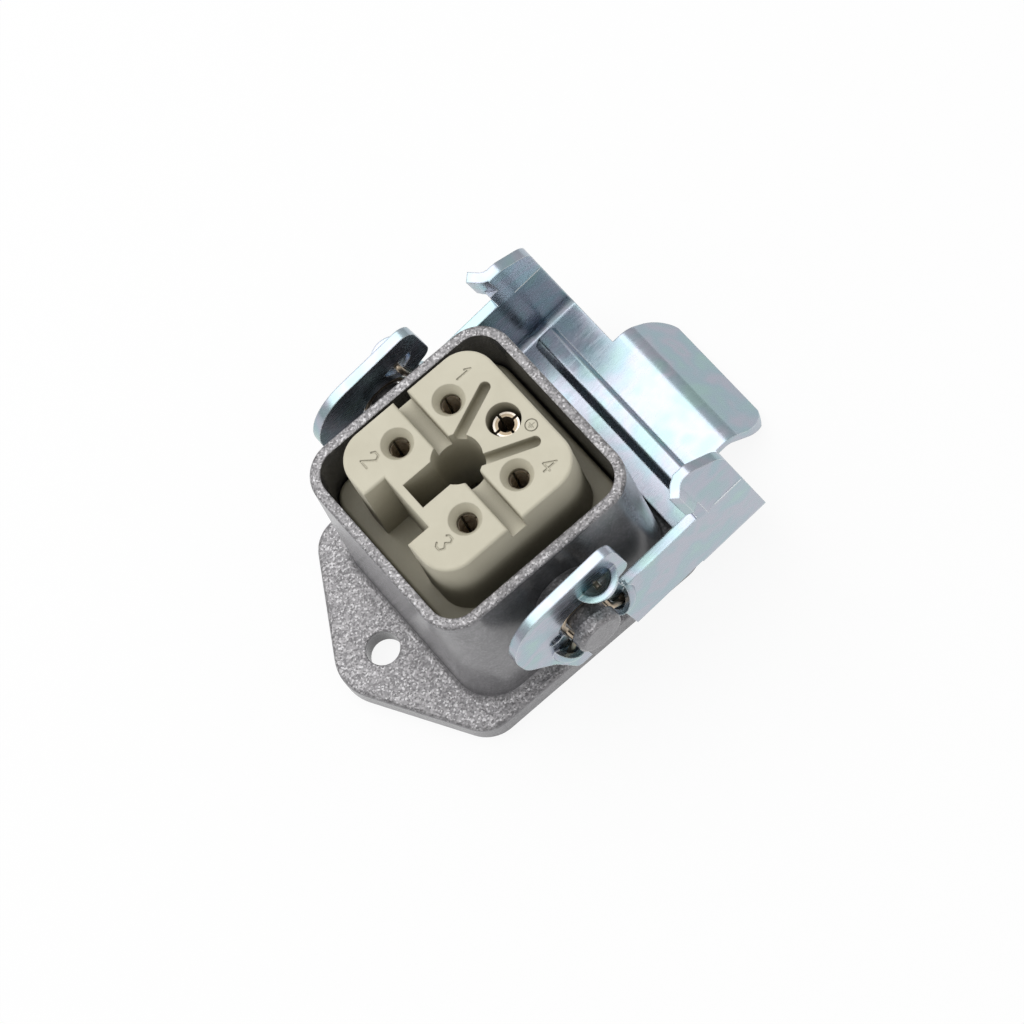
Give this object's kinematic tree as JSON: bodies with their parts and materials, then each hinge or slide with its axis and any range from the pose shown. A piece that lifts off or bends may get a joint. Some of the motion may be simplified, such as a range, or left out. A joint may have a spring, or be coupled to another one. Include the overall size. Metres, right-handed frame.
{
  "type": "heavy duty rectangular connector",
  "caption": "Panel-mount rectangular connector: cast flanged housing with a raised socket insert and a swinging sheet-metal locking lever.",
  "frame": {"origin": "middle of the flange underside, halfway between the two mounting holes", "axes": "+Z is the mating direction, +X points to the lever's handle, +Y to one hinge peg"},
  "size_m": [0.0457, 0.0342, 0.025],
  "materials": {
    "cast_metal": "speckled grey powder coat",
    "plated_sheet": "zinc plated, blue passivated",
    "spring_wire": "drawn spring wire",
    "insert_plastic": "matte moulded",
    "contact_metal": "silver plated",
    "screw_steel": "plated",
    "leaf_steel": "bright",
    "seal_rubber": "matte"
  },
  "bodies": {
    "base": {"housing": "cast_metal", "flange_seal": "seal_rubber", "insert_body": "insert_plastic", "contact_1": "contact_metal", "terminal_screw_1": "screw_steel", "clamp_leaf_1": "leaf_steel", "contact_2": "contact_metal", "terminal_screw_2": "screw_steel", "clamp_leaf_2": "leaf_steel", "contact_3": "contact_metal", "terminal_screw_3": "screw_steel", "clamp_leaf_3": "leaf_steel", "contact_4": "contact_metal", "terminal_screw_4": "screw_steel", "clamp_leaf_4": "leaf_steel", "earth_contact": "contact_metal", "earth_plate": "contact_metal", "earth_terminal": "contact_metal", "earth_screw": "screw_steel", "fixing_screw": "screw_steel", "spring_washer": "screw_steel"},
    "lever": {"lever": "plated_sheet", "lever_spring_front": "spring_wire", "lever_spring_back": "spring_wire"}
  },
  "joints": [
    {"name": "lever_hinge", "type": "hinge", "parent": "base", "child": "lever", "pos_m": [0, 0, 0.014], "axis": [0, -1, 0], "range_deg": [0, 85]}
  ]
}
